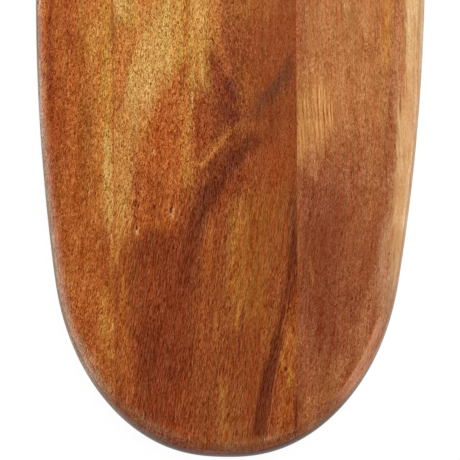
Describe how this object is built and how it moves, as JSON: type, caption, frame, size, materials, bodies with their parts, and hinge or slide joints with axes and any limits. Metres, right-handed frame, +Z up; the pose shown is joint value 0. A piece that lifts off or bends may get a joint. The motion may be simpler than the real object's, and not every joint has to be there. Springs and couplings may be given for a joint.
{
  "type": "serving board",
  "caption": "Long oval wooden serving board of edge-glued staves, flat on both faces, with rounded ends and rounded-over edges.",
  "frame": {"origin": "middle of the underside, on the surface that the board lies on", "axes": "+Y along the grain and the length, with the pictured end at -Y; +X across the staves, to the picture's right; +Z up, out of the serving face"},
  "size_m": [0.2004, 0.4998, 0.019],
  "materials": {
    "left_stave_wood": "oiled satin hardwood, orange-brown with golden bands",
    "centre_stave_wood": "oiled satin hardwood, red-brown heartwood with dark streaks and a pale golden patch",
    "right_stave_wood": "oiled satin hardwood, tan-brown with fine pores and a pale sapwood edge",
    "glue": "cured wood glue, sanded flush"
  },
  "bodies": {
    "root": {"left_stave": "left_stave_wood", "centre_stave": "centre_stave_wood", "right_stave": "right_stave_wood", "left_glue_line": "glue", "right_glue_line": "glue"}
  },
  "joints": []
}
